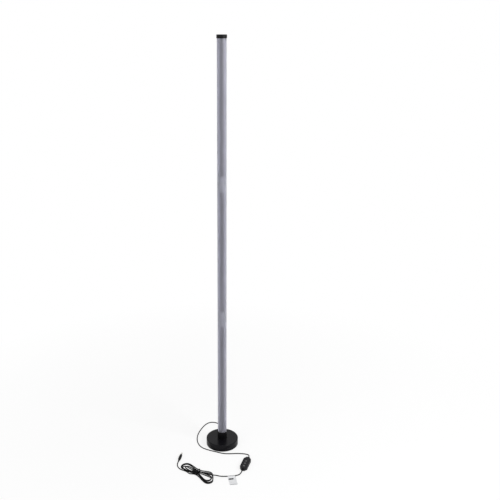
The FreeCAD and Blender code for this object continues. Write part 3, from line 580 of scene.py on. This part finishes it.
def beside(heading, along, aside, height):
    """A place along and beside a line through the waist, in millimetres."""
    level = heading_vector(heading) * along + heading_vector(heading - 90) * aside
    return Vector((*WAIST, 0)) + (level + Vector((0, 0, height))) * MM


def round_end(centre, radius, headings):
    """Control points of a round end, one at each heading. They lie outside the circle,
    so that the smooth line touches the circle."""
    half_step = (headings[-1] - headings[0]) / (len(headings) - 1) / 2
    reach = radius / math.cos(math.radians(half_step))
    return [centre + heading_vector(heading - 90) * reach for heading in headings]


def one_loop(number):
    """One loop on the floor, counter-clockwise from the left lobe's near side."""
    slack = number in SLACK_LOOPS
    *right, right_radius = RIGHT_ENDS[number]
    *shoulder, shoulder_radius = SHOULDERS[number]
    *left, left_radius = LEFT_ENDS[number]
    lift = WAIST_LIFT + FLOOR_LINE
    flank = []
    if slack:
        flank = [beside(LEFT_HEADING, SLACK_ALONG, SLACK_LOOPS[number], FLOOR_LINE)]
    return [
        beside(LEFT_HEADING, NEAR_FLANK_ALONG, NEAR_FLANKS[number], FLOOR_LINE),
        beside(180 + WAIST_HEADING, 0, WAIST_NEAR[number], lift),
        *round_end(Vector((*right, FLOOR_LINE * MM)), right_radius,
                   RIGHT_HEADINGS[slack]),
        *round_end(Vector((*shoulder, FLOOR_LINE * MM)), shoulder_radius,
                   SHOULDER_HEADINGS[slack]),
        beside(180 + WAIST_HEADING, 0, WAIST_FAR[number], lift),
        *flank,
        *round_end(beside(LEFT_HEADING, *left, FLOOR_LINE), left_radius * MM,
                   LEFT_HEADINGS),
    ]


def hank_points():
    """The hank's control points from its last run's far end on the floor to its run on
    top: the floor's loops, the climb, and the loops on them."""
    points = []
    for number in range(len(LEFT_ENDS)):
        loop = one_loop(number)
        for place, point in enumerate(loop):
            layer = 0 if number < FLOOR_LOOPS else 1
            for spot in ((number, place), (number, place - len(loop))):
                layer = CLIMB.get(spot, layer)
            points.append(point + Vector((0, 0, layer * LAYER * MM)))
    for along, aside, lift in OVER_THE_TOP:
        points.append(beside(LEFT_HEADING, along, aside, FLOOR_LINE + 2 * LAYER + lift))
    return points


# How finely the lead's curve is drawn along its line and round its section.
STEPS_ALONG = 8
STEPS_ROUND = 4


def smooth_lead(name, points):
    """A round lead on one smooth line, whose points are its control points."""
    settings = bpy.context.scene.corner_lamp_lead
    curve = bpy.data.curves.new(name, "CURVE")
    curve.dimensions = "3D"
    curve.resolution_u = STEPS_ALONG
    curve.bevel_depth = settings.diameter / 2
    curve.bevel_resolution = STEPS_ROUND
    curve.use_fill_caps = True
    spline = curve.splines.new("NURBS")
    spline.points.add(len(points) - 1)
    for control, place in zip(spline.points, points):
        control.co = (*place, 1)
    spline.order_u = 3
    spline.use_endpoint_u = True
    curve.materials.append(finish_for("lead_pvc"))
    lead = bpy.data.objects.new(name, curve)
    bpy.context.scene.collection.objects.link(lead)
    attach(lead, BODY)
    return lead


class CORNER_LAMP_OT_leads(bpy.types.Operator):
    """Lay the lead from the base to the controller and on through the hank"""
    bl_idname = "corner_lamp.leads"
    bl_label = "Leads"

    def execute(self, context):
        lamp_lead = smooth_lead("lamp_lead", LAMP_ROUTE)
        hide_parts("cord_lamp_to_controller")
        route = HANK_ROUTE + hank_points()[::-1] + TAIL_ROUTE
        plug_lead = smooth_lead("plug_lead", route)
        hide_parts("cord_controller_to_hank", "cord_hank", "cord_tail")
        return {"FINISHED"}


class CORNER_LAMP_OT_lead_facts(bpy.types.Operator):
    """An empty step: it states nothing and changes nothing"""
    bl_idname = "corner_lamp.lead_facts"
    bl_label = "Lead facts"

    def execute(self, context):
        return {"FINISHED"}


# ---------------------------------------------------------------- modelled pieces

def start_piece(name, add, **settings):
    """Adds a primitive with nothing else selected, and names it."""
    bpy.ops.object.select_all(action="DESELECT")
    add(**settings)
    piece = bpy.context.object
    piece.name = piece.data.name = name
    return piece


def place_piece():
    """Moves the selected piece's place, turn and scale into its mesh."""
    bpy.ops.object.transform_apply(location=True, rotation=True, scale=True)


def use_modifier(piece, kind, **settings):
    """Adds a modifier and applies it."""
    modifier = piece.modifiers.new(kind.lower(), kind)
    for name, value in settings.items():
        setattr(modifier, name, value)
    bpy.ops.object.modifier_apply(modifier=modifier.name)


def finish_piece(piece, slot, body=BODY, replaced=(), finish=None, smooth=40):
    """Smooths the piece up to an angle, finishes it, and puts it on the lamp."""
    place_piece()
    bpy.ops.object.shade_smooth_by_angle(angle=math.radians(smooth))
    piece.data.materials.clear()
    piece.data.materials.append(finish_for(finish or slot))
    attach(piece, body)
    if replaced:
        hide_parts(*replaced)


def pick(piece, kind, test):
    """In edit mode, selects only the vertices, edges or faces that pass the test. It
    is given the item's corners, where they stand in the scene."""
    bpy.ops.mesh.select_mode(type=kind)
    bpy.ops.mesh.select_all(action="DESELECT")
    mesh = bmesh.from_edit_mesh(piece.data)
    for item in {"VERT": mesh.verts, "EDGE": mesh.edges, "FACE": mesh.faces}[kind]:
        corners = [item] if kind == "VERT" else item.verts
        if test([piece.matrix_world @ corner.co for corner in corners]):
            item.select_set(True)
    mesh.select_flush_mode()
    bmesh.update_edit_mesh(piece.data)


def turned_piece(name, start, heading, profile, sides=48):
    """A round piece: a disc is extruded ring by ring along its heading, through a
    profile of radius and distance in millimetres."""
    ahead = Vector(heading).normalized()
    radius, along = profile[0]
    centre = Vector(start) + ahead * along * MM
    piece = start_piece(
        name, bpy.ops.mesh.primitive_circle_add, vertices=sides, radius=radius * MM,
        fill_type="NGON", location=centre,
        rotation=ahead.to_track_quat("Z", "Y").to_euler())
    bpy.ops.object.mode_set(mode="EDIT")
    bpy.ops.mesh.select_all(action="SELECT")
    for next_radius, next_along in profile[1:]:
        step = ahead * (next_along - along) * MM
        bpy.ops.mesh.extrude_region_move(TRANSFORM_OT_translate={"value": step})
        centre += step
        bpy.ops.transform.resize(value=[next_radius / radius] * 3,
                                 center_override=centre)
        radius, along = next_radius, next_along
    bpy.ops.mesh.select_all(action="SELECT")
    bpy.ops.mesh.normals_make_consistent(inside=False)
    bpy.ops.object.mode_set(mode="OBJECT")
    return piece


GROOVE_LIP = 0.04


def ribbed(first, last, grooves, depth):
    """Profile points between two of radius and distance, with grooves round them."""
    points = []
    parts = 2 * grooves + 1
    for part in range(parts):
        sunk = depth if part % 2 else 0
        for share in (part / parts, (part + 1) / parts):
            radius, along = (a + (b - a) * share for a, b in zip(first, last))
            lip = GROOVE_LIP if share * parts > part else 0
            points.append((radius - sunk, along + lip))
    return points


BASE_RELIEF_LEVEL = 0.007
CONTROLLER_TURN = -18
CONTROLLER_PLACE = (0.0774, -0.131)
CONTROLLER_RELIEF_LEVEL = 0.006
# The base's outer wall, and the reliefs in millimetres of radius and distance: a flange
# inside the wall, a neck through it, a collar outside the base's, and a grooved taper.
WALL = 55.05
BASE_RELIEF_PROFILE = [
    (3.4, 50.9), (3.4, 52.1), (2.9, 52.2), (2.9, WALL), (3.2, WALL + 0.02),
    (3.4, WALL + 0.2), (3.4, WALL + 0.9), (3.2, WALL + 1.1),
    *ribbed((2.8, WALL + 1.2), (2.15, WALL + 11), 4, 0.4), (2.1, WALL + 12)]
CONTROLLER_RELIEF_PROFILE = [
    (3.4, 30.1), (3.4, 31.4), (2.9, 31.5), (2.9, 33.6),
    *ribbed((2.85, 34), (2.15, 40.2), 3, 0.4), (2.1, 41)]


class CORNER_LAMP_OT_reliefs(bpy.types.Operator):
    """Model the segmented strain reliefs of the base and the controller"""
    bl_idname = "corner_lamp.reliefs"
    bl_label = "Strain reliefs"

    def execute(self, context):
        base_relief = turned_piece("base_relief", (0, 0, BASE_RELIEF_LEVEL), (0, 1, 0),
                                   BASE_RELIEF_PROFILE)
        finish_piece(base_relief, "relief_pvc", replaced=["base_strain_relief"])
        middle = Vector((*CONTROLLER_PLACE, CONTROLLER_RELIEF_LEVEL))
        for name, node, turn in (("lamp_side_relief", "controller_lamp_relief", 90),
                                 ("plug_side_relief", "controller_plug_relief", -90)):
            relief = turned_piece(name, middle, heading_vector(CONTROLLER_TURN + turn),
                                  CONTROLLER_RELIEF_PROFILE)
            finish_piece(relief, "relief_pvc", replaced=[node])
        return {"FINISHED"}


# A cap's dished top in millimetres: radius, and depth under its highest ring.
CAP_SIDE = 3.5
CAP_TOP = ((CAP_SIDE, 0.6), (3.43, 0.38), (3.25, 0.18), (2.98, 0.05), (2.7, 0),
           (2.45, 0.05), (1.9, 0.2), (1.2, 0.28), (0.5, 0.3))


class CORNER_LAMP_OT_buttons(bpy.types.Operator):
    """Model the dished caps of the controller's three buttons"""
    bl_idname = "corner_lamp.buttons"
    bl_label = "Buttons"

    def execute(self, context):
        for name in ("power", "colour", "mode"):
            low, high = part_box(name + "_button")
            foot = Vector(((low.x + high.x) / 2, (low.y + high.y) / 2, low.z))
            tall = (high.z - low.z) / MM
            top = [(radius, tall - depth) for radius, depth in CAP_TOP]
            cap = turned_piece(name + "_cap", foot, (0, 0, 1), [(CAP_SIDE, 0), *top])
            finish_piece(cap, "button_abs", name + "_button", [name + "_button"])
        return {"FINISHED"}


PLUG_HEADING = (0.194, 0.981, 0)
# The grip in millimetres of radius and distance: a grooved tail, a swelling, finger
# ribs, and a taper to the barrel.
PLUG_PROFILE = [
    *ribbed((2.1, 0), (2.9, 10.4), 4, 0.45), (3.3, 10.9), (3.75, 11.6), (4.15, 12.9),
    (4.5, 14.6), (4.75, 16.6), *ribbed((4.85, 18), (4.85, 29), 5, 0.35),
    (4.85, 30.5), (4.75, 32.4), (4.5, 34.6), (4.2, 36.8), (3.95, 38.4), (3.85, 39.3),
    (3.6, 40)]


class CORNER_LAMP_OT_plug(bpy.types.Operator):
    """Model the plug's grip with its grooved tail and finger ribs"""
    bl_idname = "corner_lamp.plug"
    bl_label = "Plug grip"

    def execute(self, context):
        grip = turned_piece("plug_grip", PLUG_TAIL, PLUG_HEADING, PLUG_PROFILE)
        finish_piece(grip, "plug_pvc", replaced=["plug_body"])
        return {"FINISHED"}


# The tie's band and its twisted ends, in millimetres and degrees.
TIE_LENGTH = 4
TIE_WIDTH = 21
TIE_LOW = 0.15
TIE_HIGH = 13.3
TIE_WALL = 0.7
TIE_BEND = 2.4
TIE_EDGE = 0.25
ENDS_SIZE = (11, 2.4, 1.2)
ENDS_EDGE = 0.3
ENDS_TWIST = 400
ENDS_CUTS = 35
ENDS_TILT = -12
ENDS_LEVEL = 10.8
ENDS_ASIDE = 7
# Lengthwise edges are longer than this, and edges sharper than the angle are softened.
LONG_EDGE = 3
SHARP = 50


class CORNER_LAMP_OT_tie(bpy.types.Operator):
    """Bind the hank's waist with a coated wire tie, its ends twisted together"""
    bl_idname = "corner_lamp.tie"
    bl_label = "Wire tie"

    def execute(self, context):
        turn = math.radians(WAIST_HEADING)
        along = heading_vector(WAIST_HEADING)
        band = start_piece(
            "tie_band", bpy.ops.mesh.primitive_cube_add, size=1,
            location=(*WAIST, (TIE_LOW + TIE_HIGH) / 2 * MM), rotation=(0, 0, turn))
        band.scale = Vector((TIE_LENGTH, TIE_WIDTH, TIE_HIGH - TIE_LOW)) * MM
        place_piece()
        bpy.ops.object.mode_set(mode="EDIT")
        pick(band, "FACE", lambda corners: all(
            abs((corner - corners[0]).dot(along)) < 0.1 * MM for corner in corners))
        bpy.ops.mesh.delete(type="ONLY_FACE")
        pick(band, "EDGE", lambda corners: (
            abs((corners[1] - corners[0]).dot(along)) > LONG_EDGE * MM))
        bpy.ops.mesh.bevel(offset=TIE_BEND * MM, segments=6, affect="EDGES")
        bpy.ops.object.mode_set(mode="OBJECT")
        use_modifier(band, "SOLIDIFY", thickness=TIE_WALL * MM, offset=-1)
        use_modifier(band, "BEVEL", width=TIE_EDGE * MM, segments=2,
                     limit_method="ANGLE", angle_limit=math.radians(SHARP))
        finish_piece(band, "tie_pvc", replaced=["hank_tie"])
        ends = start_piece("tie_ends", bpy.ops.mesh.primitive_cube_add, size=1)
        ends.scale = Vector(ENDS_SIZE) * MM
        place_piece()
        bpy.ops.object.mode_set(mode="EDIT")
        pick(ends, "EDGE", lambda corners: (
            abs(corners[1].x - corners[0].x) > LONG_EDGE * MM))
        bpy.ops.mesh.subdivide(number_cuts=ENDS_CUTS)
        bpy.ops.object.mode_set(mode="OBJECT")
        use_modifier(ends, "SIMPLE_DEFORM", deform_method="TWIST", deform_axis="X",
                     angle=math.radians(ENDS_TWIST))
        use_modifier(ends, "BEVEL", width=ENDS_EDGE * MM, segments=2,
                     limit_method="ANGLE", angle_limit=math.radians(SHARP))
        ends.rotation_euler = (0, math.radians(ENDS_TILT), turn)
        ends.location = Vector((*WAIST, ENDS_LEVEL * MM)) - along * ENDS_ASIDE * MM
        finish_piece(ends, "tie_pvc")
        return {"FINISHED"}


TAG_PLACE = (0.030, -0.1915)
TAG_TURN = 7.4
TAG_WIDTH = 24.5
TAG_ROLL = 1.95
TAG_WALL = 0.15
LEAD_LEVEL = 2.15
# The fold starts under the lead and turns behind and over it, in steps of an angle.
# Each step also drifts across, so that the upper leaf lies askew.
FOLD_START = -75
FOLD_STEP = -27.5
FOLD_STEPS = 10
FOLD_ACROSS = 0.2
FOLD_DRIFT = -0.24
# The leaves in millimetres across, ahead and up.
LOWER_LEAF = ((2.3, 44, 0.25), (0.3, 3, 0.25))
UPPER_LEAF = ((-2.2, 3.3, 1.3), (-2.1, 5.5, 0.85), (-1.9, 9, 0.85),
              (-1.2, 20, 1.2), (-0.4, 32, 1.9), (0.6, 43.6, 2.8))
# The dark bar on the upper leaf, which rises to the front under it.
BAR_PLACE = (-3.2, 14, 1.13)
BAR_SIZE = (17, 7.2)
BAR_CORNER = 3.2
BAR_WALL = 0.05
BAR_SKEW = 4.5
BAR_RISE = (0.35, 11)


def tag_point(across, ahead, height):
    """A point of the tag in millimetres: across its width, ahead of the lead, up."""
    flat = heading_vector(TAG_TURN) * across + heading_vector(TAG_TURN - 90) * ahead
    return Vector((*TAG_PLACE, 0)) + (flat + Vector((0, 0, height))) * MM


class CORNER_LAMP_OT_tag(bpy.types.Operator):
    """Fold the film tag round the lead, its two leaves a little apart"""
    bl_idname = "corner_lamp.tag"
    bl_label = "Tag"

    def execute(self, context):
        roll = []
        for step in range(FOLD_STEPS):
            angle = math.radians(FOLD_START + FOLD_STEP * step)
            roll.append((FOLD_ACROSS + FOLD_DRIFT * step, TAG_ROLL * math.cos(angle),
                         LEAD_LEVEL + TAG_ROLL * math.sin(angle)))
        first, second = (tag_point(*spot) for spot in LOWER_LEAF)
        run = second - first
        film = start_piece(
            "film_tag", bpy.ops.mesh.primitive_plane_add, size=1,
            location=(first + second) / 2, rotation=(0, 0, math.radians(TAG_TURN)))
        film.scale = (TAG_WIDTH * MM, run.length, 1)
        place_piece()
        bpy.ops.object.mode_set(mode="EDIT")
        pick(film, "VERT", lambda corners: (
            (corners[0] - second).length < (corners[0] - first).length))
        place = second
        for spot in (*roll, *UPPER_LEAF):
            step = tag_point(*spot) - place
            bpy.ops.mesh.extrude_region_move(TRANSFORM_OT_translate={"value": step})
            place = place + step
        bpy.ops.object.mode_set(mode="OBJECT")
        use_modifier(film, "SOLIDIFY", thickness=TAG_WALL * MM, offset=0)
        finish_piece(film, "tag_film", replaced=["cord_tag"])
        rise = math.atan2(*BAR_RISE)
        wide = heading_vector(TAG_TURN + BAR_SKEW)
        back = -heading_vector(TAG_TURN + BAR_SKEW - 90) * math.cos(rise)
        back.z = -math.sin(rise)
        facing = Matrix((wide, back, wide.cross(back))).transposed()
        bar = start_piece("tag_bar", bpy.ops.mesh.primitive_plane_add, size=1,
                          location=tag_point(*BAR_PLACE), rotation=facing.to_euler())
        bar.scale = (BAR_SIZE[0] * MM, BAR_SIZE[1] * MM, 1)
        place_piece()
        bpy.ops.object.mode_set(mode="EDIT")
        bpy.ops.mesh.select_mode(type="VERT")
        bpy.ops.mesh.select_all(action="SELECT")
        bpy.ops.mesh.bevel(offset=BAR_CORNER * MM, segments=6, affect="VERTICES")
        bpy.ops.object.mode_set(mode="OBJECT")
        use_modifier(bar, "SOLIDIFY", thickness=BAR_WALL * MM, offset=-1)
        finish_piece(bar, "tag_film", finish="tag_print")
        return {"FINISHED"}


# ---------------------------------------------------------------- stage

def white_to_the_eye(tree, surface, whiteness=None):
    """Shows the background white to the camera and in reflections, and lets the
    surface light the lamp as it is. Whiteness, where it is given, is the share of
    white that the eye sees. Returns the mixed shader's output."""
    path = add_node(tree, "LightPath")
    seen = path.outputs["Is Camera Ray"]
    for ray in ("Is Glossy Ray", "Is Transmission Ray"):
        seen = add_node(tree, "Math", operation="MAXIMUM",
                        links={0: seen, 1: path.outputs[ray]}).outputs[0]
    if whiteness:
        seen = add_node(tree, "Math", operation="MULTIPLY",
                        links={0: seen, 1: whiteness}).outputs[0]
    glow = add_node(tree, "Emission", {"Color": (1, 1, 1, 1), "Strength": 1})
    mix = add_node(tree, "MixShader", links={"Fac": seen, 1: surface,
                                             2: glow.outputs[0]})
    return mix.outputs[0]


def area_lamp(name, place, target, size, power):
    """A soft square lamp that points at a target."""
    light = bpy.data.lights.new(name, "AREA")
    light.size = size
    light.energy = power
    holder = bpy.data.objects.new(name, light)
    holder.location = place
    aim = Vector(target) - Vector(place)
    holder.rotation_euler = aim.to_track_quat("-Z", "Y").to_euler()
    bpy.context.scene.collection.objects.link(holder)
    return holder


FLOOR_SIZE = 30
FLOOR_PAINT = (0.96, 0.96, 0.96, 1)
# How white the floor shows near the lamp and away from it, at these distances.
FLOOR_WHITENESS = {"From Min": 0.3, "From Max": 1.3, "To Min": 0.8, "To Max": 1.0}
KEY_PLACE = (1.7, -1.3, 1.9)
FILL_PLACE = (-1.8, -1.6, 1.6)
LIGHT_TARGET = (0, 0, 0.6)
LIGHT_SIZE = 1.2


class CORNER_LAMP_OT_stage(bpy.types.Operator):
    """Lay a pale floor and set up soft studio light"""
    bl_idname = "corner_lamp.stage"
    bl_label = "Stage"

    def execute(self, context):
        stage = context.scene.corner_lamp_stage
        bpy.ops.object.select_all(action="DESELECT")
        bpy.ops.mesh.primitive_plane_add(size=FLOOR_SIZE)
        floor = context.object
        floor.name = "studio_floor"
        material = bpy.data.materials.new("pale_floor")
        material.use_nodes = True
        tree = material.node_tree
        tree.nodes.clear()
        paint = add_node(tree, "BsdfDiffuse", {"Color": FLOOR_PAINT})
        place = add_node(tree, "TexCoord").outputs["Object"]
        away = add_node(tree, "VectorMath", operation="LENGTH",
                        links={0: place}).outputs["Value"]
        whiteness = add_node(tree, "MapRange", FLOOR_WHITENESS,
                             {"Value": away}).outputs["Result"]
        shown = white_to_the_eye(tree, paint.outputs[0], whiteness)
        add_node(tree, "OutputMaterial", links={"Surface": shown})
        floor.data.materials.append(material)
        world = bpy.data.worlds.new("studio")
        world.use_nodes = True
        context.scene.world = world
        tree = world.node_tree
        tree.nodes.clear()
        around = add_node(tree, "Background", {"Color": (1, 1, 1, 1),
                                               "Strength": stage.ambient})
        shown = white_to_the_eye(tree, around.outputs[0])
        add_node(tree, "OutputWorld", links={"Surface": shown})
        area_lamp("key", KEY_PLACE, LIGHT_TARGET, LIGHT_SIZE, stage.key_power)
        area_lamp("fill", FILL_PLACE, LIGHT_TARGET, LIGHT_SIZE, stage.fill_power)
        context.scene.view_settings.view_transform = "Standard"
        return {"FINISHED"}


# ---------------------------------------------------------------- add-on

class CORNER_LAMP_PT_panel(bpy.types.Panel):
    """Lists the steps that make the lamp"""
    bl_idname = "CORNER_LAMP_PT_panel"
    bl_label = "Corner floor lamp"
    bl_space_type = "VIEW_3D"
    bl_region_type = "UI"
    bl_category = "Lamp"

    def draw(self, context):
        for operator in OPERATORS:
            self.layout.operator(operator.bl_idname)


SETTINGS = {
    "corner_lamp_lead": LeadSettings,
    "corner_lamp_finish": FinishSettings,
    "corner_lamp_stage": StageSettings,
}
OPERATORS = (
    CORNER_LAMP_OT_camera,
    CORNER_LAMP_OT_leads,
    CORNER_LAMP_OT_finishes,
    CORNER_LAMP_OT_reliefs,
    CORNER_LAMP_OT_buttons,
    CORNER_LAMP_OT_plug,
    CORNER_LAMP_OT_tie,
    CORNER_LAMP_OT_tag,
    CORNER_LAMP_OT_lead_facts,
    CORNER_LAMP_OT_stage,
)


def register():
    for kind in (*SETTINGS.values(), *OPERATORS, CORNER_LAMP_PT_panel):
        bpy.utils.register_class(kind)
    for name, kind in SETTINGS.items():
        setattr(bpy.types.Scene, name, PointerProperty(type=kind))


def unregister():
    for name in SETTINGS:
        delattr(bpy.types.Scene, name)
    for kind in (CORNER_LAMP_PT_panel, *OPERATORS, *SETTINGS.values()):
        bpy.utils.unregister_class(kind)


def main():
    """Makes the lamp step by step."""
    register()
    for operator in OPERATORS:
        group, name = operator.bl_idname.split(".")
        getattr(getattr(bpy.ops, group), name)()


if __name__ == "__main__":
    main()
